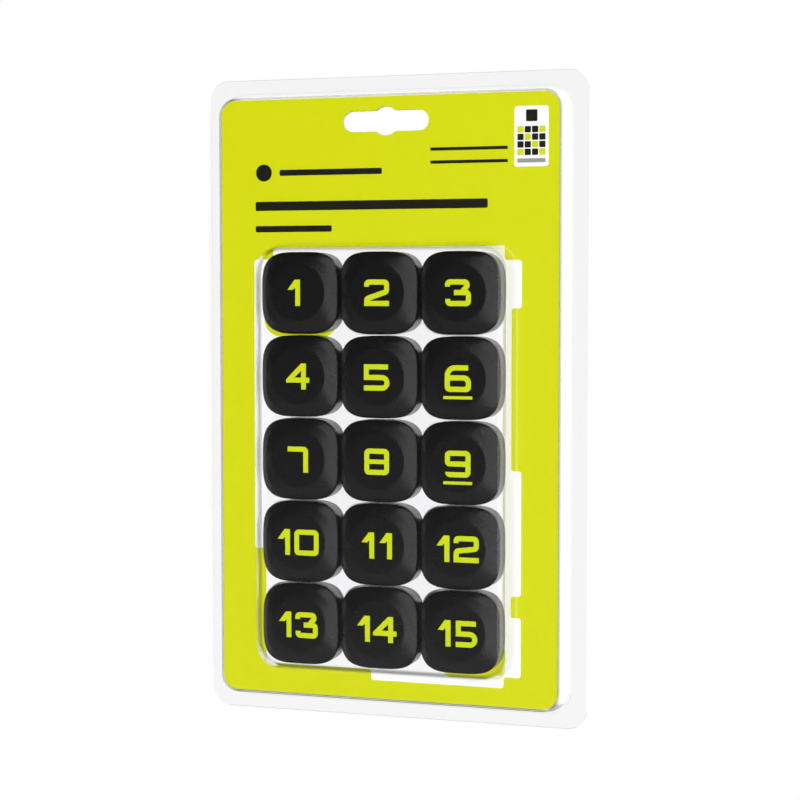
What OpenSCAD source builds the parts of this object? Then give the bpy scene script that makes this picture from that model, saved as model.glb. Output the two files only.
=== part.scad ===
// Hang pack of fifteen number pieces for a sliding tile puzzle.
// A clear folded shell closes over a printed card, and the pieces lie on the card
// in three columns and five rows. The front faces -Y and +Z is up. The origin is the
// centre of the hang slot, on the back of the pack. All sizes are in millimetres.

/* [Pieces] */
// Side of one number piece
tile_w = 23; // [22:0.1:23.3]
// Gap between neighbouring pieces
tile_gap = 0.5; // [0.3:0.1:0.8]
// Height of a piece's upright side
tile_side_h = 6.6; // [6:0.1:7]
// Rise of the round plateau above the side's top edge
tile_rise = 1.5; // [1:0.1:1.6]
// Radius of the round plateau
plateau_r = 8; // [7.5:0.1:8.5]
// Squareness of a piece's outline: 2 is a circle, and a large number a square
squareness = 3.6; // [3:0.1:5]
// Wall of the hollow cap
cap_wall = 1.7; // [1.4:0.1:2]

/* [Numerals] */
// Height of a numeral
numeral_h = 7.35; // [7:0.05:7.6]
// Width of a numeral's stroke
stroke = 1.45; // [1.2:0.05:1.6]
// Radius of a numeral's outer corners
numeral_r = 1.4; // [0.8:0.1:1.6]
// Depth of the numeral in the cap
numeral_depth = 0.6; // [0.4:0.1:0.8]

/* [Pack] */
// Width over the sealing flange
pack_w = 113.4; // [112:0.2:116]
// Height over the sealing flange
pack_h = 183; // [182:0.5:186]
// Width of the raised pocket that frames the card
pocket_w = 101; // [98:0.5:102]
// Height of the raised pocket
pocket_h = 171.5; // [168:0.1:172]
// Thickness of the clear sheet
sheet = 0.4; // [0.3:0.05:0.5]
// Thickness of the printed card
card_t = 0.5; // [0.3:0.05:0.6]

/* [Hang slot] */
// Length of the hang slot
slot_w = 25.2; // [24:0.2:30]
// Height of the slot's two arms
slot_h = 5.8; // [5:0.1:6]
// Diameter of the round notch at the slot's middle
slot_notch_d = 8; // [7:0.1:8.5]

/* [Hidden] */
columns = 3;
rows = 5;
count = columns * rows;
pitch = tile_w + tile_gap;

// Heights in the pack, measured forward from its back face
seam = 0.45;                                    // plane between the two flanges
seam_gap = 0.05;                                // half of the air between them
flange_front = 0.9;
pocket_front = 7.65;
card_front = pocket_front - sheet - 0.1;
card_back = card_front - card_t;
tray_front = card_back - 0.05;
tile_foot = card_front + 0.05;
tile_edge = tile_foot + tile_side_h;
tile_top = tile_edge + tile_rise;
bubble_front = tile_top + 0.4 + sheet;

// Heights on the pack, measured from the hang slot
grid_z = -95;                                   // middle of the middle row
pack_top = 13.3;
pocket_top = 7.55;
pack_mid = pack_top - pack_h / 2;
pocket_mid = pocket_top - pocket_h / 2;

// Outlines: corner radii and the draft of the formed walls
pack_r = 5.7;
pocket_r = 5;
bubble_r = 6;
pocket_draft = 1.2;
bubble_draft = 1.4;
bubble_margin = 1.75;                           // from the pieces to the bubble's outside
bubble_w = columns * pitch - tile_gap + 2 * bubble_margin;
bubble_h = rows * pitch - tile_gap + 2 * bubble_margin - 0.7;
edge_round = 2;                                 // height of the bubble's softened front edge
edge_inset = 0.9;                               // how far that edge pulls in
tray_gap = 0.35;                                // air between the tray and the pocket's wall
card_gap = 0.2;
past = 1;                                       // how far a cut runs past a face

// Living hinge along the left edge
hinge_r = 0.43;
hinge_air = 0.07;
hinge_x = -pack_w / 2 + hinge_r;
hinge_l = 160;

// Inside of a piece
cavity_top = 1.0;                               // from the cavity's roof to the side's top edge
foot_t = 1.2;
foot_air = 0.05;
magnet_d = 10;
magnet_t = 2;
glue_t = 0.05;
numeral_proud = 0.05;

// Numeral widths, as singles from 0 to 9 and as the second figure of 10 to 15
single_w = [7.35, 3.8, 7.3, 7.4, 7.0, 7.5, 7.5, 6.15, 7.3, 7.35];
second_w = [7.35, 3.75, 7.2, 6.8, 6.9, 6.2];
second_gap = [1.3, 1.5, 1.2, 1.2, 0.95, 1.5];
ten_w = 3.75;
one_shift = -1.1;                               // the single 1 stands left of the middle
underline_w = 8.3;
underline_h = 0.85;
underline_drop = 1.15;
two_low = 2.9;                                  // where the slope of the 2 ends, and of the 12's 2
twelve_low = 3.9;

// Colours
lime = [0.80, 0.86, 0.12];
cap_black = [0.08, 0.08, 0.08];
foot_grey = [0.14, 0.14, 0.14];
front_clear = [0.93, 0.95, 0.96, 0.35];
back_clear = [0.90, 0.92, 0.93, 0.35];

// Fineness of curves
arc_steps = 8;
outline_steps = 64;
round_steps = 48;
plateau_steps = 32;
thin = 0.01;                                    // a slice that a hull starts or ends on

function two_figures(n) = n < 10 ? str("0", n) : str(n);

// ---------- outlines ----------

// Points of an arc about c, from angle a to a + sweep
function arc(c, r, a, sweep = 90) =
    r == 0 ? [c] : [
        for (i = [0:arc_steps]) let (turn = a + sweep * i / arc_steps)
            c + r * [cos(turn), sin(turn)]
    ];

// A box from corner a to corner b, with a radius for each corner in turn, starting at the
// lower left and going round by the lower right
function box_points(a, b, r) = concat(
    arc([a.x + r[0], a.y + r[0]], r[0], 180),
    arc([b.x - r[1], a.y + r[1]], r[1], 270),
    arc([b.x - r[2], b.y - r[2]], r[2], 0),
    arc([a.x + r[3], b.y - r[3]], r[3], 90)
);

module box(a, b, r = [0, 0, 0, 0]) {
    polygon(box_points(a, b, r));
}

// A box by its middle, with one radius
module panel(w, h, r, mid = 0) {
    box([-w / 2, mid - h / 2], [w / 2, mid + h / 2], [r, r, r, r]);
}

// The pieces' outline, a square with bowed sides and soft corners
function soft_square(w) = [
    for (i = [0:outline_steps - 1]) let (a = 360 * i / outline_steps, p = 2 / squareness)
        w / 2 * [sign(cos(a)) * pow(abs(cos(a)), p), sign(sin(a)) * pow(abs(sin(a)), p)]
];

// Extrudes an outline drawn in X and Z forward, from one height above the back face to another
module raise(low, high) {
    translate([0, -low, 0]) rotate([90, 0, 0]) linear_extrude(high - low) children();
}

module slot_outline() {
    panel(slot_w, slot_h, slot_h / 2 - thin);
    circle(d = slot_notch_d, $fn = round_steps);
}

module slot_cut() {
    raise(-past, pocket_front + past) slot_outline();
}

// ---------- numerals ----------

// Each figure stands on the X axis with its left side at zero

module figure_0(w) {
    difference() {
        box([0, 0], [w, numeral_h], numeral_r * [1, 1, 1, 1]);
        box([stroke, stroke], [w - stroke, numeral_h - stroke]);
    }
}

module figure_1(w) {
    flag_h = 2.85;
    flag_w = 1.65;
    flag_lift = 0.6;
    lean = 0.2;
    stem = w - stroke;
    polygon([
        [w, 0], [w, numeral_h], [stem - lean, numeral_h], [0, numeral_h - flag_h],
        [flag_w, numeral_h - flag_h], [stem, numeral_h - flag_h + flag_lift], [stem, 0]
    ]);
}

// The middle stroke slopes from the right side down to the height low on the left
module figure_2(w, low) {
    high = 4.5;
    tick = 2;
    far = w - stroke;
    fall = (high - low) / (far - 1);
    polygon(concat(
        [[0, 0], [w, 0], [w, stroke], [stroke, stroke], [stroke, max(stroke, low - stroke)]],
        arc([far, high], stroke, -75, 75),
        arc([w - numeral_r, numeral_h - numeral_r], numeral_r, 0),
        arc([numeral_r, numeral_h - numeral_r], numeral_r, 90),
        [[0, numeral_h - tick], [stroke, numeral_h - tick], [stroke, numeral_h - stroke]],
        [[far, numeral_h - stroke], [far, high], [1, high - fall * (far - 1)]],
        arc([numeral_r, low - numeral_r], numeral_r, 110, 70)
    ));
}

// The upper half is narrower, and its slant runs down into the lower half's bar
module figure_3(w) {
    waist = 4.45;
    tick = 2;
    low_shift = 0.1;
    bar_start = 2.55;
    upper_w = w - 0.4;
    slant_top = w - 1.8;
    slant_foot = w - 3;
    join = w - 1;
    overlap = 0.6;
    notch_h = 0.85;
    difference() {
        box([low_shift, 0], [w, waist], [numeral_r, numeral_r, numeral_r, 0]);
        box([0, tick], [bar_start, waist + past]);
        box([stroke + low_shift, stroke], [w - stroke, waist - stroke]);
    }
    polygon(concat(
        [[0, numeral_h - tick], [stroke, numeral_h - tick], [stroke, numeral_h - stroke]],
        [[slant_top, numeral_h - stroke], [slant_foot, waist], [slant_foot, waist - overlap]],
        [[join, waist - overlap], [join, waist], [upper_w, waist + notch_h]],
        arc([upper_w - numeral_r, numeral_h - numeral_r], numeral_r, 0),
        arc([numeral_r, numeral_h - numeral_r], numeral_r, 90)
    ));
}

module figure_4(w) {
    bar = 1.9;
    stem = w - 1 - stroke;
    foot = numeral_h - stem;
    skew = stroke * sqrt(2);
    difference() {
        polygon([
            [0, bar], [stem, bar], [stem, 0], [stem + stroke, 0], [stem + stroke, bar], [w, bar],
            [w, bar + stroke], [stem + stroke, bar + stroke], [stem + stroke, numeral_h],
            [stem, numeral_h], [0, foot]
        ]);
        polygon([
            [bar + stroke - foot + skew, bar + stroke], [stem, bar + stroke], [stem, stem + foot - skew]
        ]);
    }
}

module figure_5(w) {
    bowl = 4.4;
    top_w = w - 0.4;
    r = bowl / 2 - thin;
    inner_r = bowl / 2 - stroke - thin;
    difference() {
        box([0, 0], [w, bowl], [0, r, r, 0]);
        box([-past, stroke], [w - stroke, bowl - stroke], [0, inner_r, inner_r, 0]);
    }
    difference() {
        box([0, bowl - stroke], [top_w, numeral_h]);
        box([stroke, bowl - stroke - past], [w, numeral_h - stroke]);
    }
}

module figure_6(w) {
    bowl = 4.6;
    bowl_r = 2;
    top_w = w - 0.8;
    neck_r = 2.9;
    throat_r = 1.5;
    hole_r = 0.4;
    difference() {
        box([0, 0], [w, bowl], [numeral_r, numeral_r, bowl_r, 0]);
        box([stroke, stroke], [w - stroke, bowl - stroke], hole_r * [1, 1, 2, 1]);
    }
    difference() {
        box([0, bowl - stroke], [top_w, numeral_h], [0, 0, 0, neck_r]);
        box([stroke, bowl - stroke - past], [w, numeral_h - stroke], [0, 0, 0, throat_r]);
    }
}

module figure_7(w) {
    difference() {
        box([0, 0], [w, numeral_h], [0, 0, numeral_r, 0]);
        box([-past, -past], [w - stroke, numeral_h - stroke]);
    }
}

module figure_8(w) {
    waist = numeral_h / 2;
    notch_r = 0.7;
    overlap = 0.3;
    half_bar = stroke / 2 - 0.1;
    difference() {
        union() {
            box([0, 0], [w, waist + overlap], [numeral_r, numeral_r, notch_r, notch_r]);
            box([0, waist - overlap], [w, numeral_h], [notch_r, notch_r, numeral_r, numeral_r]);
        }
        box([stroke, stroke], [w - stroke, waist - half_bar]);
        box([stroke, waist + half_bar], [w - stroke, numeral_h - stroke]);
    }
}

module figure_9(w) {
    bowl = 2.95;
    low_shift = 0.1;
    difference() {
        box([0, bowl], [w, numeral_h], [numeral_r, 0, numeral_r, numeral_r]);
        box([stroke, bowl + stroke], [w - stroke, numeral_h - stroke]);
    }
    difference() {
        box([low_shift, 0], [w, bowl + stroke], [numeral_r, numeral_r, 0, 0]);
        box([-past, stroke], [w - stroke, numeral_h]);
    }
}

// One figure, w wide; low is where a 2's slope ends, and only a 2 reads it
module figure(f, w, low) {
    if (f == 0) figure_0(w);
    if (f == 1) figure_1(w);
    if (f == 2) figure_2(w, low);
    if (f == 3) figure_3(w);
    if (f == 4) figure_4(w);
    if (f == 5) figure_5(w);
    if (f == 6) figure_6(w);
    if (f == 7) figure_7(w);
    if (f == 8) figure_8(w);
    if (f == 9) figure_9(w);
}

// The number on piece n, about the piece's middle; 6 and 9 are underlined
module number_outline(n) {
    translate([0, -numeral_h / 2]) {
        if (n < 10) {
            w = single_w[n];
            translate([(n == 1 ? one_shift : 0) - w / 2, 0]) figure(n, w, two_low);
        } else {
            f = n - 10;
            total = ten_w + second_gap[f] + second_w[f];
            translate([-total / 2, 0]) figure(1, ten_w, two_low);
            translate([total / 2 - second_w[f], 0]) figure(f, second_w[f], twelve_low);
        }
        if (n == 6 || n == 9)
            translate([-underline_w / 2, -underline_drop - underline_h])
                square([underline_w, underline_h]);
    }
}

// ---------- number pieces ----------

// Puts a piece's shapes, drawn about the origin, at piece n's place
module at_place(n) {
    column = (n - 1) % columns;
    row = floor((n - 1) / columns);
    x = (column - (columns - 1) / 2) * pitch;
    z = grid_z + ((rows - 1) / 2 - row) * pitch;
    translate([x, 0, z]) children();
}

module tile_cap(n) {
    inner_w = tile_w - 2 * cap_wall;
    shoulder = 0.5;
    color(cap_black) at_place(n) difference() {
        union() {
            raise(tile_foot, tile_edge) polygon(soft_square(tile_w));
            hull() {
                raise(tile_edge - shoulder, tile_edge) polygon(soft_square(tile_w));
                raise(tile_edge, tile_top) circle(r = plateau_r, $fn = plateau_steps);
            }
        }
        raise(tile_foot - past, tile_edge - cavity_top) polygon(soft_square(inner_w));
        raise(tile_top - numeral_depth, tile_top + past) number_outline(n);
    }
}

module tile_numeral(n) {
    color(lime) at_place(n)
        raise(tile_top - numeral_depth, tile_top + numeral_proud) number_outline(n);
}

// The foot plate that closes the cap from behind, and the disc magnet glued to it
module tile_base(n) {
    inner_w = tile_w - 2 * cap_wall;
    magnet_back = tile_foot + foot_t + glue_t;
    color(foot_grey) at_place(n) {
        raise(tile_foot, tile_foot + foot_t) polygon(soft_square(inner_w - 2 * foot_air));
        raise(magnet_back, magnet_back + magnet_t) circle(d = magnet_d, $fn = round_steps);
    }
}

// ---------- clear shell and card ----------

// A thin slice of a formed shape at one height, drawn in on every side
module slice(level, w, h, r, in, mid) {
    raise(level, level + thin) panel(w - 2 * in, h - 2 * in, r - in, mid);
}

// The raised pocket between two heights, drawn in by in on every side
module pocket_form(in, low, high) {
    spread = 2 * pocket_draft;
    hull() {
        slice(low, pocket_w + spread, pocket_h + spread, pocket_r + pocket_draft, in, pocket_mid);
        slice(high - thin, pocket_w, pocket_h, pocket_r, in, pocket_mid);
    }
}

// The bubble over the pieces, with a softened front edge, drawn in by in on every side
module bubble_form(in, low, high) {
    spread = 2 * bubble_draft;
    wall_spread = 0.3;
    face_inset = 2.6 * edge_inset;
    hull() {
        slice(low, bubble_w + spread, bubble_h + spread, bubble_r + bubble_draft, in, grid_z);
        slice(high - edge_round, bubble_w + wall_spread, bubble_h + wall_spread, bubble_r, in, grid_z);
        slice(high - edge_round / 4, bubble_w - edge_inset, bubble_h - edge_inset, bubble_r, in, grid_z);
        slice(high - thin, bubble_w - face_inset, bubble_h - face_inset, bubble_r - 0.6, in, grid_z);
    }
}

module hinge_rod(r, extra = 0) {
    translate([hinge_x, -seam, pack_mid - hinge_l / 2 - extra])
        cylinder(r = r, h = hinge_l + 2 * extra, $fn = 32);
}

module flange(low, high) {
    raise(low, high) box(
        [hinge_x, pack_mid - pack_h / 2], [pack_w / 2, pack_mid + pack_h / 2],
        [pack_r - hinge_r, pack_r, pack_r, pack_r - hinge_r]
    );
}

module front_shell() {
    color(front_clear) difference() {
        union() {
            flange(seam + seam_gap, flange_front);
            pocket_form(0, seam + seam_gap, pocket_front);
            bubble_form(0, pocket_front - sheet, bubble_front);
        }
        pocket_form(sheet, seam - past, pocket_front - sheet);
        bubble_form(sheet, pocket_front - 2 * sheet, bubble_front - sheet);
        slot_cut();
        hinge_rod(hinge_r + hinge_air, past);
    }
}

// The tray behind the card, folded from the same sheet as the front shell
module back_shell() {
    tray_in = sheet + tray_gap;
    color(back_clear) difference() {
        union() {
            flange(0, seam - seam_gap);
            pocket_form(tray_in, thin, tray_front);
            hinge_rod(hinge_r);
        }
        pocket_form(tray_in + sheet, -past, tray_front - sheet);
        slot_cut();
    }
}

module insert_card() {
    card_in = sheet + card_gap;
    color(lime) difference() {
        raise(card_back, card_front)
            panel(pocket_w - 2 * card_in, pocket_h - 2 * card_in, pocket_r - card_in, pocket_mid);
        slot_cut();
    }
}

front_shell();
back_shell();
insert_card();
for (n = [1:count]) {
    tile_cap(n);
    tile_numeral(n);
    tile_base(n);
}
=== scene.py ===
"""Looks for a hang pack of fifteen number pieces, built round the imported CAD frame.

Pieces are modelled lying on the bench, in millimetres: X to the right, Y up the pack and Z
forward from the pack's back face. stand_up() then turns them into the row frame, in metres.
"""

import math

import bmesh
import bpy
from mathutils import Matrix, Vector


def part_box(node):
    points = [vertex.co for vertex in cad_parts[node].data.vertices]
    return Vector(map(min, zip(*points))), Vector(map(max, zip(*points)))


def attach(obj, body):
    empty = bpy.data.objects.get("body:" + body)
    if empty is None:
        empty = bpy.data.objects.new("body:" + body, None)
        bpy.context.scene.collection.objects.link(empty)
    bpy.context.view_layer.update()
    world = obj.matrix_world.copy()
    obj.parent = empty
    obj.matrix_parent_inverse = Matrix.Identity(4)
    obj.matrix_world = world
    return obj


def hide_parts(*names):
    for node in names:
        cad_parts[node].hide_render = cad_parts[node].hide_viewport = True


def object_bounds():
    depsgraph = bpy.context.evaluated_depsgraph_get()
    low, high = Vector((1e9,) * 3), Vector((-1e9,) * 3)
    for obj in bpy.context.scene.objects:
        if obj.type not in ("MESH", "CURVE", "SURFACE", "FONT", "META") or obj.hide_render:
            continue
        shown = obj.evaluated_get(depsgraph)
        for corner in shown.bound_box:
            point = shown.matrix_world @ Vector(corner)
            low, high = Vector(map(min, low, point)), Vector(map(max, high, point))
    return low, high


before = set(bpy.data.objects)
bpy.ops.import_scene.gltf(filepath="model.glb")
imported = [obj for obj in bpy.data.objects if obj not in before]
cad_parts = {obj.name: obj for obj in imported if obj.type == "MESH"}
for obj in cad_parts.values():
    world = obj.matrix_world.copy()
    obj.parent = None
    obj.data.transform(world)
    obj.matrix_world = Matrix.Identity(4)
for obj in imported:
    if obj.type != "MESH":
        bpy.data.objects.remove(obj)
cad_low, cad_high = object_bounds()

MM = 0.001
BENCH_TO_ROW = Matrix.Scale(MM, 4) @ Matrix.Rotation(math.radians(90), 4, "X")


# ---------- places taken from the frame ----------

def bench_box(node):
    """Lowest and highest corner of a CAD node, on the bench in millimetres."""
    low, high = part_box(node)
    return (
        Vector((low.x, low.z, -high.y)) / MM,
        Vector((high.x, high.z, -low.y)) / MM,
    )


TILE_NUMBERS = range(1, 16)
tile_low, tile_high = bench_box("tile_08_cap")
card_low, card_high = bench_box("insert_card")
front_low, front_high = bench_box("front_shell")
back_low = bench_box("back_shell")[0]

tile_w = tile_high.x - tile_low.x
tile_foot, tile_top = tile_low.z, tile_high.z
pitch = bench_box("tile_05_cap")[0].y - tile_low.y
grid_y = (tile_low.y + tile_high.y) / 2

sheet = 0.4
pack_w = front_high.x - back_low.x
pack_h = front_high.y - front_low.y
pack_mid = (front_high.y + front_low.y) / 2
pack_r = 5.7
pocket_front = card_high.z + 0.1 + sheet
pocket_w = card_high.x - card_low.x + 1.2
pocket_h = card_high.y - card_low.y + 1.2
pocket_mid = (card_high.y + card_low.y) / 2
pocket_r = 5.0
bubble_front = front_high.z
bubble_w = 3 * pitch + 3.0
bubble_h = 5 * pitch + 2.3
bubble_r = 7.0
pocket_draft, bubble_draft = 1.2, 1.4
flange = 0.45                       # room for one flange: the sheet and a little air
seam = back_low.z + flange
flange_front = seam + flange

CORNER_SEGMENTS = 14
INK = 0.02                          # thickness of one layer of ink
LEVEL = 0.9999                      # a face whose normal rises this much is flat, and shaded flat


# ---------- materials ----------

def linear(colour):
    """A linear colour from an sRGB hex value."""
    channels = [int(colour[i:i + 2], 16) / 255 for i in (1, 3, 5)]
    return (*(c / 12.92 if c <= 0.04045 else ((c + 0.055) / 1.055) ** 2.4 for c in channels), 1.0)


def add(tree, kind, inputs=None, **settings):
    """Adds a node, with its settings, and fills its inputs with values or other nodes' outputs."""
    node = tree.nodes.new(kind)
    for name, value in settings.items():
        setattr(node, name, value)
    for name, value in (inputs or {}).items():
        if isinstance(value, bpy.types.NodeSocket):
            tree.links.new(value, node.inputs[name])
        else:
            node.inputs[name].default_value = value
    return node


def new_material(name):
    """An empty material with its output node and its Object coordinates."""
    material = bpy.data.materials.new(name)
    material.use_nodes = True
    tree = material.node_tree
    tree.nodes.clear()
    output = add(tree, "ShaderNodeOutputMaterial")
    place = add(tree, "ShaderNodeTexCoord").outputs["Object"]
    return material, tree, output, place


def per_metre(size_mm):
    """Noise scale for a pattern whose features are size_mm across, on coordinates in metres."""
    return 1 / (size_mm * MM)


def moulded_plastic(name, dark, light, roughness, grain_mm, grain_depth, mottle_mm):
    """Moulded ABS with a spark-eroded grain: a fine bump, and a faint change of tone and gloss."""
    material, tree, output, place = new_material(name)
    mottle = add(tree, "ShaderNodeTexNoise", {
        "Vector": place, "Scale": per_metre(mottle_mm), "Detail": 3.0, "Roughness": 0.6,
    })
    grain = add(tree, "ShaderNodeTexNoise", {
        "Vector": place, "Scale": per_metre(grain_mm), "Detail": 2.0, "Roughness": 0.5,
    })
    colour = add(tree, "ShaderNodeMix", {
        "Factor": mottle.outputs["Fac"], "A": linear(dark), "B": linear(light),
    }, data_type="RGBA")
    gloss = add(tree, "ShaderNodeMapRange", {
        "Value": mottle.outputs["Fac"], "From Min": 0.3, "From Max": 0.7,
        "To Min": roughness - 0.01, "To Max": roughness + 0.01,
    })
    bump = add(tree, "ShaderNodeBump", {
        "Height": grain.outputs["Fac"], "Distance": grain_depth * MM, "Strength": 0.6,
    })
    surface = add(tree, "ShaderNodeBsdfPrincipled", {
        "Base Color": colour.outputs["Result"], "Roughness": gloss.outputs["Result"],
        "Normal": bump.outputs["Normal"], "IOR": 1.5,
    })
    tree.links.new(surface.outputs["BSDF"], output.inputs["Surface"])
    return material


def printed_board(name, ink, ink_worn, roughness=0.42):
    """Offset print on coated board: even ink with a faint mottle, over a fine paper tooth."""
    material, tree, output, place = new_material(name)
    mottle = add(tree, "ShaderNodeTexNoise", {
        "Vector": place, "Scale": per_metre(1.6), "Detail": 5.0, "Roughness": 0.65,
    })
    tooth = add(tree, "ShaderNodeTexNoise", {
        "Vector": place, "Scale": per_metre(0.35), "Detail": 2.0,
    })
    spread = add(tree, "ShaderNodeMapRange", {
        "Value": mottle.outputs["Fac"], "From Min": 0.35, "From Max": 0.7,
    }, interpolation_type="SMOOTHSTEP")
    colour = add(tree, "ShaderNodeMix", {
        "Factor": spread.outputs["Result"], "A": linear(ink), "B": linear(ink_worn),
    }, data_type="RGBA")
    bump = add(tree, "ShaderNodeBump", {
        "Height": tooth.outputs["Fac"], "Distance": 0.01 * MM, "Strength": 0.4,
    })
    surface = add(tree, "ShaderNodeBsdfPrincipled", {
        "Base Color": colour.outputs["Result"], "Roughness": roughness,
        "Normal": bump.outputs["Normal"], "IOR": 1.45,
    })
    tree.links.new(surface.outputs["BSDF"], output.inputs["Surface"])
    return material


def clear_sheet_material():
    """Thermoformed clear PET: it mirrors at a slant, and at its bends a painted olive-grey shade darkens
    what shows through it, in place of the lines that refraction draws there.
    """
    material, tree, output, place = new_material("clear_pet_sheet")
    ripple = add(tree, "ShaderNodeTexNoise", {
        "Vector": place, "Scale": per_metre(22.0), "Detail": 1.0,
    })
    bump = add(tree, "ShaderNodeBump", {
        "Height": ripple.outputs["Fac"], "Distance": 0.2 * MM, "Strength": 0.4,
    })
    # Painted shade: a per-vertex weight turns what shows through the sheet olive grey at its bends.
    painted_bend_shade = add(tree, "ShaderNodeAttribute", attribute_name="painted_bend_shade")
    bend_shade_colour = add(tree, "ShaderNodeMix", {
        "Factor": painted_bend_shade.outputs["Fac"], "A": linear("#ffffff"), "B": linear("#b9b982"),
    }, data_type="RGBA")
    through = add(tree, "ShaderNodeBsdfTransparent", {"Color": bend_shade_colour.outputs["Result"]})
    mirror = add(tree, "ShaderNodeBsdfAnisotropic", {
        "Color": linear("#ffffff"), "Roughness": 0.06, "Normal": bump.outputs["Normal"],
    })
    slant = add(tree, "ShaderNodeLayerWeight", {"Blend": 0.5, "Normal": bump.outputs["Normal"]})
    steep = add(tree, "ShaderNodeMath", {0: slant.outputs["Facing"], 1: 5.0}, operation="POWER")
    mirrored = add(tree, "ShaderNodeMapRange", {
        "Value": steep.outputs["Value"], "To Min": 0.026, "To Max": 1.0,
    })
    surface = add(tree, "ShaderNodeMixShader", {
        0: mirrored.outputs["Result"], 1: through.outputs["BSDF"], 2: mirror.outputs["BSDF"],
    })
    tree.links.new(surface.outputs["Shader"], output.inputs["Surface"])
    return material


# Black ABS from a finely eroded mould: near black, with soft broad highlights on its slopes.
black_abs = moulded_plastic("black_abs_cap", "#060606", "#080809", 0.27, 0.35, 0.0015, 6.0)
# Lime ABS moulded into the cap: solid colour to its edge, duller than the black round it.
lime_abs = moulded_plastic("lime_abs_inlay", "#c6d506", "#cddb0c", 0.42, 0.3, 0.006, 1.2)
# Dark grey ABS, unpolished: the foot plates look matt and a shade paler than the caps.
foot_abs = moulded_plastic("grey_abs_foot", "#161617", "#1e1e20", 0.5, 0.35, 0.02, 3.0)
# Inks and bare board. The board has a satin coat, so its colours stay even and strong.
lime_ink = printed_board("lime_ink_on_board", "#ced401", "#d0d604")
white_board = printed_board("bare_white_board", "#f5f5f6", "#f3f3f5")
black_ink = printed_board("black_ink_on_board", "#131208", "#17160c", 0.35)
grey_ink = printed_board("grey_ink_on_board", "#8f928c", "#999c96")
clear_pet = clear_sheet_material()


# ---------- mesh helpers ----------

def rounded_face(bm, width, height, radius, middle=(0, 0), level=0.0):
    """A flat face with round corners, on the bench."""
    verts = bmesh.ops.create_grid(bm, x_segments=1, y_segments=1, size=0.5)["verts"]
    bmesh.ops.scale(bm, vec=(width, height, 1), verts=verts)
    bmesh.ops.translate(bm, vec=(middle[0], middle[1], level), verts=verts)
    if radius <= 0:
        return verts[0].link_faces[0]
    rounded = bmesh.ops.bevel(
        bm, geom=verts, offset=radius, affect="VERTICES", segments=CORNER_SEGMENTS,
        profile=0.5, material=-1,
    )
    return max(rounded["verts"][0].link_faces, key=lambda face: len(face.verts))


def rounded_profile(corners, radii, steps=6, support=0.0):
    """A polyline of (inward, up) points with arcs at its inner corners.

    Each point is (inward, up, how far round its arc from 0 to 1, or None on the straights).
    With support, a point at that distance before and after each arc holds its shading and its painted shade.
    """
    points = [(*corners[0], None)]
    for i, radius in enumerate(radii, start=1):
        here = Vector(corners[i])
        into = (here - Vector(corners[i - 1])).normalized()
        out = (Vector(corners[i + 1]) - here).normalized()
        turn = into.angle_signed(out)
        start = here - into * abs(radius * math.tan(turn / 2))
        if support:
            points.append((*(start - into * support), None))
        for k in range(steps + 1):
            t = k / steps
            chord = 2 * radius * math.sin(abs(turn) * t / 2)
            heading = Matrix.Rotation(-turn * t / 2, 2) @ into
            end = start + heading * chord
            points.append((*end, t))
        if support:
            points.append((*(end + out * support), None))
    points.append((*corners[-1], None))
    return points


def form_rings(bm, face, profile, painted_shade_at=None):
    """Insets a face ring by ring along a profile, and marks the bends with the sheet's painted shade."""
    painted_bend_shade = bm.verts.layers.float.get("painted_bend_shade")
    before = profile[0]
    for point in profile[1:]:
        inward, up = point[0] - before[0], point[1] - before[1]
        if abs(inward) < 1e-6 and abs(up) < 1e-6:
            continue
        bmesh.ops.inset_region(
            bm, faces=[face], thickness=max(inward, 1e-4), depth=up,
            use_even_offset=True, use_boundary=True,
        )
        # Each new ring takes its weight of painted shade.
        painted_shade = painted_shade_at(point) if painted_shade_at else 0.0
        for vert in face.verts:
            vert[painted_bend_shade] = painted_shade
        before = point
    return face


def stand_up(bm, name, material, body, smooth_degrees=40):
    """Turns a bench mesh into a piece in the row frame, which rides on a body."""
    bmesh.ops.remove_doubles(bm, verts=bm.verts, dist=1e-4)
    bmesh.ops.recalc_face_normals(bm, faces=bm.faces)
    sharp = math.radians(smooth_degrees)
    for edge in bm.edges:
        edge.smooth = not (edge.is_manifold and edge.calc_face_angle() > sharp)
    for face in bm.faces:
        face.smooth = abs(face.normal.z) < LEVEL
    bmesh.ops.transform(bm, matrix=BENCH_TO_ROW, verts=bm.verts)
    mesh = bpy.data.meshes.new(name)
    bm.to_mesh(mesh)
    bm.free()
    mesh.materials.append(material)
    piece = bpy.data.objects.new(name, mesh)
    bpy.context.scene.collection.objects.link(piece)
    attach(piece, body)
    return piece


def merge_in(bm, other):
    """Moves another bmesh into bm and returns its edges there."""
    mesh = bpy.data.meshes.new("passing")
    other.to_mesh(mesh)
    other.free()
    before = set(bm.edges)
    bm.from_mesh(mesh)
    bpy.data.meshes.remove(mesh)
    return [edge for edge in bm.edges if edge not in before]


def slot_ring(bm, level):
    """The edges of the hang slot: a long round slot with a round notch at its middle."""
    half_w, half_h, notch_r = 12.6, 2.9, 4.0
    ring = bmesh.new()
    notch = ring.verts.new((0, notch_r, level))
    end = ring.verts.new((half_w - half_h, half_h, level))
    shoulder = bmesh.ops.spin(
        ring, geom=[notch], cent=(0, 0, level), axis=(0, 0, -1), steps=6,
        angle=math.acos(half_h / notch_r),
    )["geom_last"][0]
    bmesh.ops.spin(
        ring, geom=[end], cent=(half_w - half_h, 0, level), axis=(0, 0, -1), steps=10,
        angle=math.radians(90),
    )
    ring.edges.new((shoulder, end))
    for axis in ("X", "Y"):
        bmesh.ops.mirror(ring, geom=list(ring.verts) + list(ring.edges), axis=axis, merge_dist=1e-3)
    bmesh.ops.remove_doubles(ring, verts=ring.verts, dist=1e-3)
    return merge_in(bm, ring)


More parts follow.
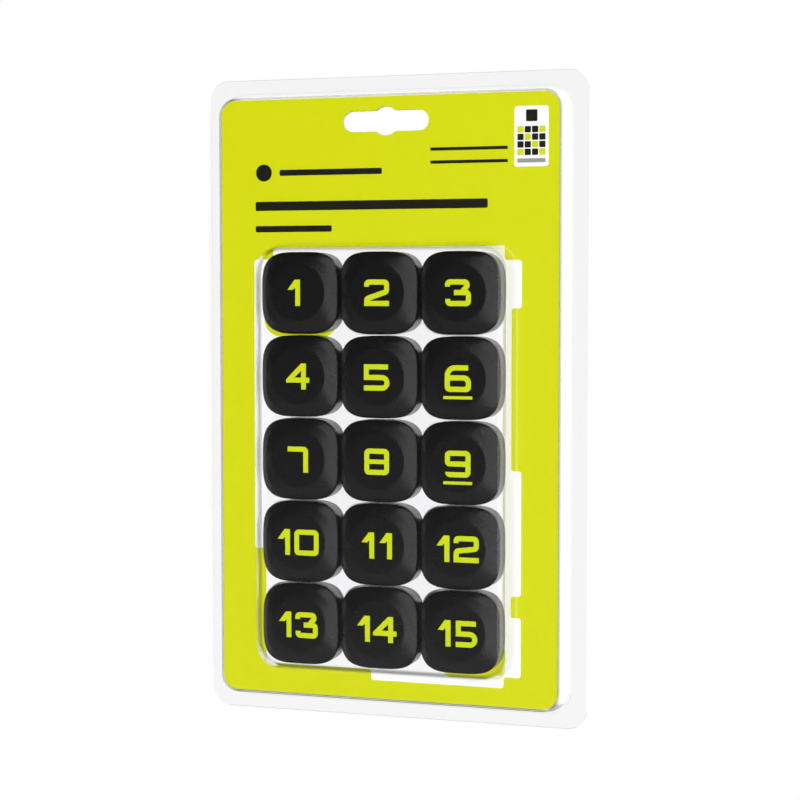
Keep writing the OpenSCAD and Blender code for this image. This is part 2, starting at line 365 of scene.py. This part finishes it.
# ---------- formed clear sheet ----------

def open_face(bm, face):
    """Removes a face and returns the edges round the hole that it leaves."""
    edges = list(face.edges)
    bmesh.ops.delete(bm, geom=[face], context="FACES_ONLY")
    return edges


def pocket_sheet(bm, flange_level, face_level, inset):
    """A flange and the raised pocket inside it. Returns the edges round the pocket's open face."""
    hinge_room = 0.4
    rim = rounded_face(
        bm, pack_w - hinge_room, pack_h, pack_r, (hinge_room / 2, pack_mid), flange_level,
    )
    rim_edges = open_face(bm, form_rings(bm, rim, [(0, 0), (0.25, 0)]))
    fillet = 0.6
    grow = 2 * (pocket_draft + fillet - inset)
    base = rounded_face(
        bm, pocket_w + grow, pocket_h + grow, pocket_r + grow / 2, (0, pocket_mid), flange_level,
    )
    base_edges = list(base.edges)
    rise = face_level - flange_level
    top = fillet + pocket_draft
    wall = rounded_profile(
        [(0, 0), (fillet, 0), (top, rise), (top + 1, rise)], [0.5, 0.7], support=0.12,
    )
    # The pocket's upper bends get painted shade, half strength at most.
    pocket = form_rings(bm, base, wall, lambda point: pocket_painted_shade(point, rise / 2, 0.5))
    bmesh.ops.bridge_loops(bm, edges=rim_edges + base_edges)
    return open_face(bm, pocket)


def pocket_painted_shade(point, above, most):
    """The painted shade of a profile point: strongest halfway round an arc that lies higher than above."""
    _, up, turned = point
    return most * math.sin(math.pi * turned) if turned is not None and up > above else 0.0


def bubble(bm):
    """The deep bubble over the pieces. Returns the edges round its foot."""
    height = bubble_front - pocket_front
    foot_fillet, shoulder, shoulder_drop = 0.5, 1.3, 1.2
    grow = 2 * (bubble_draft + foot_fillet)
    foot = rounded_face(
        bm, bubble_w + grow, bubble_h + grow, bubble_r + grow / 2, (0, grid_y), pocket_front,
    )
    edges = list(foot.edges)
    top = foot_fillet + bubble_draft
    turn_up = height - shoulder_drop
    wall = rounded_profile(
        [(0, 0), (foot_fillet, 0), (top, turn_up), (top + shoulder, height), (top + 4, height)],
        [0.6, 1.4, 1.6], support=0.1,
    )
    # Where the bubble's wall turns towards its front it gets a full-strength painted dark line.
    form_rings(bm, foot, wall, lambda point: bubble_painted_line(point, height / 2, turn_up))
    return edges


def bubble_painted_line(point, low, high):
    """A narrow painted dark line where the bubble's wall turns towards its front: painted shade in place of
    refraction.
    """
    _, up, turned = point
    return 1.0 if turned is not None and low < up < high and turned < 0.2 else 0.0


def finish_sheet(bm, name, body, node):
    """Gives a formed surface the sheet's thickness and lets it stand for its CAD node."""
    piece = stand_up(bm, name, clear_pet, body)
    solid = piece.modifiers.new("sheet_thickness", "SOLIDIFY")
    solid.thickness = sheet * MM
    solid.offset = -1
    solid.use_even_offset = True
    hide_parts(node)


def formed_sheets():
    """The front shell with its bubble, and the tray that stands behind the card."""
    bm = bmesh.new()
    bm.verts.layers.float.new("painted_bend_shade")
    edges = pocket_sheet(bm, flange_front, pocket_front, 0)
    edges += bubble(bm) + slot_ring(bm, pocket_front)
    bmesh.ops.triangle_fill(bm, edges=edges, use_beauty=True)
    finish_sheet(bm, "formed_front_sheet", "front", "front_shell")

    bm = bmesh.new()
    bm.verts.layers.float.new("painted_bend_shade")
    gap, narrower = 0.05, sheet + 0.35
    edges = pocket_sheet(bm, seam - gap, card_low.z - gap, narrower)
    edges += slot_ring(bm, card_low.z - gap)
    bmesh.ops.triangle_fill(bm, edges=edges, use_beauty=True)
    finish_sheet(bm, "formed_back_tray", "back", "back_shell")


def fold_bead():
    """The living hinge: the rolled fold of the sheet down the pack's left edge, with its creases."""
    radius, crease_r, length, creases = 0.42, 0.37, 160.0, 40
    middle = back_low.x + radius + 0.01
    step = length / creases
    outline = [(0, 0), (crease_r, 0)]
    for i in range(creases):
        outline += [(radius, (i + 0.12) * step), (radius, (i + 0.88) * step), (crease_r, (i + 1) * step)]
    outline.append((0, length))
    bm = bmesh.new()
    bm.verts.layers.float.new("painted_bend_shade")
    made = [bm.verts.new((out, 0, along)) for out, along in outline]
    lines = [bm.edges.new(pair) for pair in zip(made, made[1:])]
    bmesh.ops.spin(
        bm, geom=made + lines, cent=(0, 0, 0), axis=(0, 0, 1), angle=math.tau, steps=20, use_merge=True,
    )
    bmesh.ops.rotate(bm, matrix=Matrix.Rotation(math.radians(-90), 3, "X"), verts=bm.verts)
    bmesh.ops.translate(bm, vec=(middle, pack_mid - length / 2, seam), verts=bm.verts)
    stand_up(bm, "fold_bead", clear_pet, "back")


# ---------- card and its print ----------

def card_board():
    """The card itself: green on both faces, with the bare board showing at its cut edges."""
    bm = bmesh.new()
    outline = rounded_face(
        bm, card_high.x - card_low.x, card_high.y - card_low.y, 4.4, (0, pocket_mid), card_high.z,
    )
    edges = open_face(bm, outline)
    bmesh.ops.triangle_fill(bm, edges=edges + slot_ring(bm, card_high.z), use_beauty=True)
    thickness = card_high.z - card_low.z
    made = bmesh.ops.extrude_face_region(bm, geom=list(bm.faces))["geom"]
    down = [v for v in made if isinstance(v, bmesh.types.BMVert)]
    bmesh.ops.translate(bm, vec=(0, 0, -thickness), verts=down)
    piece = stand_up(bm, "printed_card", lime_ink, "back", 30)
    piece.data.materials.append(white_board)
    for polygon in piece.data.polygons:
        if abs(polygon.normal.y) < 0.5:
            polygon.material_index = 1
    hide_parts("insert_card")


def ink_film(bm, layer, before, front=True):
    """Thickens the faces that are new since before into a closed film of ink, away from the card."""
    fresh = [f for f in bm.faces if f not in before]
    made = bmesh.ops.extrude_face_region(bm, geom=fresh)["geom"]
    up = [v for v in made if isinstance(v, bmesh.types.BMVert)]
    bmesh.ops.translate(bm, vec=(0, 0, layer * INK if front else -layer * INK), verts=up)


def ink_piece(name, material, shapes, layer=1, front=True):
    """Bars of ink. Each shape is (left, bottom, right, top, corner radius), from the pieces' middle."""
    bm = bmesh.new()
    for left, bottom, right, top, radius in shapes:
        before = set(bm.faces)
        rounded_face(
            bm, right - left, top - bottom, radius,
            ((left + right) / 2, (top + bottom) / 2 + grid_y), card_high.z if front else card_low.z,
        )
        ink_film(bm, layer, before, front)
    return stand_up(bm, name, material, "back", 30)


def stepped_block():
    """The white block behind the pieces, with plain steps at its sides."""
    left, right, bottom, top = -36.5, 36.5, -60.0, 60.0
    out = 2.9
    steps = [
        (left + 2.5, top), (right - 2, top), (right - 2, top - 4), (right + out, top - 4),
        (right + out, 42.7), (right, 42.7), (right, -2.3), (right + out, -2.3), (right + out, -37.2),
        (right, -37.2), (right, -43.2), (right + out, -43.2), (right + out, bottom),
        (right - 2, bottom), (right - 2, bottom - 3.1), (-4.5, bottom - 3.1), (-4.5, bottom),
        (left, bottom), (left, -26.6), (left - 3.4, -26.6), (left - 3.4, top - 3.5), (left + 2.5, top - 3.5),
    ]
    bm = bmesh.new()
    bm.faces.new([bm.verts.new((x, y + grid_y, card_high.z)) for x, y in reversed(steps)])
    bmesh.ops.bevel(
        bm, geom=list(bm.verts), offset=0.8, affect="VERTICES", segments=5, profile=0.5, material=-1,
    )
    ink_film(bm, 1, set())
    stand_up(bm, "white_block_print", white_board, "back", 30)


def card_print():
    """The card's front: white and green areas, plain bars and a pictogram of a board."""
    stepped_block()
    ink_piece("lime_patches_print", lime_ink, [
        (-36.8, 34.5, -14.3, 57.5, 5.0), (16.6, -60.8, 35.0, -50.0, 3.0),
    ], 2)
    # One unbroken bar stands for each printed line, and a disc for the device beside them, so that
    # nothing here follows a word's letters, its breaks or the device's outline.
    ink_piece("title_bars_print", black_ink, [
        (-39.4, 70.4, 29.6, 73.0, 0.5), (-39.4, 64.3, -16.2, 66.1, 0.4), (-32.0, 80.3, -1.2, 82.0, 0.4),
        (-39.2, 78.8, -34.4, 83.6, 2.3), (13, 86.4, 35.3, 87.3, 0.3), (13, 82.8, 35.3, 83.7, 0.3),
    ])

    ink_piece("board_picture_print", white_board, [(37.1, 81.5, 46.8, 98.0, 0.8)])
    cell, step = 1.75, 2.05
    cells = [(38.0 + step * c, 84.6 + step * r) for c in range(4) for r in range(4)]
    ink_piece("board_picture_cells_print", black_ink, [
        (x, y, x + cell, y + cell, 0.25) for i, (x, y) in enumerate(cells) if i % 3
    ] + [(40.4, 93.8, 43.6, 97.0, 0.3)], 2)
    ink_piece("board_picture_keys_print", lime_ink, [
        (x, y, x + cell, y + cell, 0.25) for i, (x, y) in enumerate(cells) if not i % 3
    ], 2)
    ink_piece("board_picture_foot_print", grey_ink, [(38.0, 82.6, 45.9, 83.7, 0.2)], 2)


def back_print():
    """The card's plain back: a white panel with a diagram of the pieces and bars in place of words."""
    ink_piece("back_panel_print", white_board, [(-40, -58, 40, 70, 4.0)], 1, front=False)
    across, up = (-13.5, -4.5, 4.5), (8, 17, 26, 35, 44)
    ink_piece("back_diagram_print", black_ink, [
        (x, y, x + 8, y + 8, 2.0) for x in across for y in up
    ], 2, front=False)
    ink_piece("back_diagram_dots_print", lime_ink, [
        (x + 2.9, y + 2.9, x + 5.1, y + 5.1, 1.0) for x in across for y in up
    ], 2.25, front=False)
    widths = (62, 66, 58, 64, 40, 66, 60, 63, 34)
    ink_piece("back_bars_print", grey_ink, [
        (33 - width, -4.5 - 5.2 * i, 33, -3.0 - 5.2 * i, 0.5) for i, width in enumerate(widths)
    ] + [(-6, 58, 33, 62, 0.8)], 2, front=False)


# ---------- number pieces ----------

OUTLINE_POINTS = 96
SQUARENESS = 3.6


def soft_square(turn, half, squareness):
    """A point on a superellipse, from a circle at squareness 2 to a soft square."""
    power = 2 / squareness
    return Vector((
        math.copysign(abs(math.cos(turn)) ** power, math.cos(turn)),
        math.copysign(abs(math.sin(turn)) ** power, math.sin(turn)),
    )) * half


def cap_mesh():
    """One moulded cap about the origin: a round plateau, soft slopes and upright hollow walls."""
    plateau_r, half = 8.0, tile_w / 2
    bm = bmesh.new()
    turn = bm.verts.layers.float.new("turn")
    circle = bmesh.ops.create_circle(
        bm, cap_ends=True, segments=OUTLINE_POINTS, radius=plateau_r - 1.2,
    )["verts"]
    for vert in circle:
        vert[turn] = math.atan2(vert.co.y, vert.co.x)
        vert.co.z = tile_top
    ring = list(circle[0].link_faces[0].edges)

    def next_ring(ring, place):
        made = bmesh.ops.extrude_edge_only(bm, edges=ring)["geom"]
        for vert in (v for v in made if isinstance(v, bmesh.types.BMVert)):
            vert.co = place(vert[turn])
        return [e for e in made if isinstance(e, bmesh.types.BMEdge) and len(e.link_faces) == 1]

    def on_slope(out, drop):
        def place(t):
            start, end = soft_square(t, plateau_r, 2), soft_square(t, half, SQUARENESS)
            return (*start.lerp(end, out / run), tile_top - drop)
        return place

    def on_wall(inset, level):
        def place(t):
            return (*soft_square(t, half - inset, SQUARENESS), level)
        return place

    run, rim = half - plateau_r, 1.5
    slope = rounded_profile(
        [(-1.2, 0), (0, 0), (run - rim, 0.75), (run, 1.75), (run, 5)], [1.6, 1.2, 0.9], steps=7,
    )
    for out, drop, _ in slope[1:-1]:
        ring = next_ring(ring, on_slope(out, drop))
    # Down the outside, under the rim of the foot, and up the wall of the hollow to its roof.
    for inset, level in [
        (0, tile_foot + 0.25), (0.2, tile_foot), (1.5, tile_foot), (1.7, tile_foot + 0.2),
        (1.7, tile_top - 2.7),
    ]:
        ring = next_ring(ring, on_wall(inset, level))
    bmesh.ops.edgeloop_fill(bm, edges=ring)
    return bm


def number_caps():
    """The fifteen caps, each in the place of its CAD node."""
    for number in TILE_NUMBERS:
        node = f"tile_{number:02d}_cap"
        low, high = bench_box(node)
        bm = cap_mesh()
        bmesh.ops.translate(bm, vec=((low.x + high.x) / 2, (low.y + high.y) / 2, 0), verts=bm.verts)
        piece = stand_up(
            bm, f"tile_{number:02d}_pillow_cap", black_abs, f"tile_{number:02d}", 50,
        )
        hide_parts(node)


def paint_cad_nodes():
    """Numerals and foot plates keep their CAD shape and get their plastics."""
    for number in TILE_NUMBERS:
        for part, material in (("numeral", lime_abs), ("base", foot_abs)):
            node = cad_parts[f"tile_{number:02d}_{part}"]
            node.data.materials.clear()
            node.data.materials.append(material)


# ---------- studio ----------

def place_camera():
    """A long lens, a little above the pack's middle and to its right."""
    camera = bpy.data.objects.new("camera", bpy.data.cameras.new("camera"))
    bpy.context.scene.collection.objects.link(camera)
    camera.data.lens = 87.4
    camera.data.sensor_width = 36
    camera.location = (0.1739, -0.5256, -0.0484)
    camera.rotation_euler = (math.radians(86.882), 0, math.radians(18.129))
    bpy.context.scene.camera = camera


def soft_box(name, azimuth, elevation, distance, size, radiance):
    """A soft box for gloss only. Azimuth 0 is in front of the pack and 90 to its right."""
    middle = Vector((0, 0, grid_y * MM))
    a, e = math.radians(azimuth), math.radians(elevation)
    towards = Vector((math.sin(a) * math.cos(e), -math.cos(a) * math.cos(e), math.sin(e)))
    data = bpy.data.lights.new(name, "AREA")
    data.shape = "RECTANGLE"
    data.size, data.size_y = size
    data.energy = radiance * math.pi * size[0] * size[1]
    light = bpy.data.objects.new(name, data)
    bpy.context.scene.collection.objects.link(light)
    light.location = middle + towards * distance
    light.rotation_euler = towards.to_track_quat("Z", "Y").to_euler()
    light.visible_diffuse = False
    light.visible_camera = False


def wide_light(name, tip, turn, energy):
    """Even light from far away, which lights without showing in the gloss."""
    light = bpy.data.objects.new(name, bpy.data.lights.new(name, "SUN"))
    bpy.context.scene.collection.objects.link(light)
    light.data.energy = energy
    light.data.angle = math.radians(4)
    light.rotation_euler = (math.radians(tip), 0, math.radians(turn))
    light.visible_glossy = False


def studio_light():
    """Even light on the card, soft boxes for the gloss, and a white world."""
    wide_light("key_light", 87, 17, 3.5)
    wide_light("rear_fill", -80, 10, 2.6)

    soft_box("gloss_right_front", 50, 14, 1.4, (3.2, 2.8), 1.3)
    soft_box("gloss_left", -92, 0, 1.4, (1.3, 2.2), 0.85)
    soft_box("gloss_right_back", 152, 0, 1.4, (0.8, 2.0), 1.2)
    soft_box("gloss_left_back_high", -160, 32, 1.4, (1.6, 0.9), 1.1)

    world = bpy.data.worlds.new("studio")
    bpy.context.scene.world = world
    world.use_nodes = True
    tree = world.node_tree
    tree.nodes.clear()
    direction = add(tree, "ShaderNodeTexCoord").outputs["Generated"]
    height = add(tree, "ShaderNodeSeparateXYZ", {"Vector": direction}).outputs["Z"]
    falling = add(tree, "ShaderNodeMapRange", {
        "Value": height, "From Min": -0.5, "From Max": 0.1, "To Min": 0.36, "To Max": 0.03,
    })
    kinds = add(tree, "ShaderNodeLightPath")
    gloss = add(tree, "ShaderNodeMix", {
        "Factor": kinds.outputs["Is Glossy Ray"], "A": 0.1, "B": falling.outputs["Result"],
    })
    seen = add(tree, "ShaderNodeMix", {
        "Factor": kinds.outputs["Is Camera Ray"], "A": gloss.outputs["Result"], "B": 1.0,
    })
    background = add(tree, "ShaderNodeBackground", {
        "Color": linear("#ffffff"), "Strength": seen.outputs["Result"],
    })
    output = add(tree, "ShaderNodeOutputWorld")
    tree.links.new(background.outputs["Background"], output.inputs["Surface"])


def pale_floor():
    """A white floor 60 mm below the pack, which sends no light or gloss back onto it."""
    material, tree, output, _ = new_material("pale_floor")
    surface = add(tree, "ShaderNodeEmission", {"Color": linear("#ffffff"), "Strength": 1.0})
    tree.links.new(surface.outputs["Emission"], output.inputs["Surface"])
    bm = bmesh.new()
    bmesh.ops.create_circle(bm, cap_ends=True, segments=48, radius=6)
    bmesh.ops.translate(bm, vec=(0, 0, cad_low.z - 0.06), verts=bm.verts)
    mesh = bpy.data.meshes.new("floor")
    bm.to_mesh(mesh)
    bm.free()
    mesh.materials.append(material)
    floor = bpy.data.objects.new("floor", mesh)
    bpy.context.scene.collection.objects.link(floor)
    floor.visible_glossy = False
    floor.visible_diffuse = False


place_camera()
formed_sheets()
fold_bead()
card_board()
card_print()
back_print()
number_caps()
paint_cad_nodes()
studio_light()
pale_floor()

bpy.context.scene.view_settings.view_transform = "Standard"
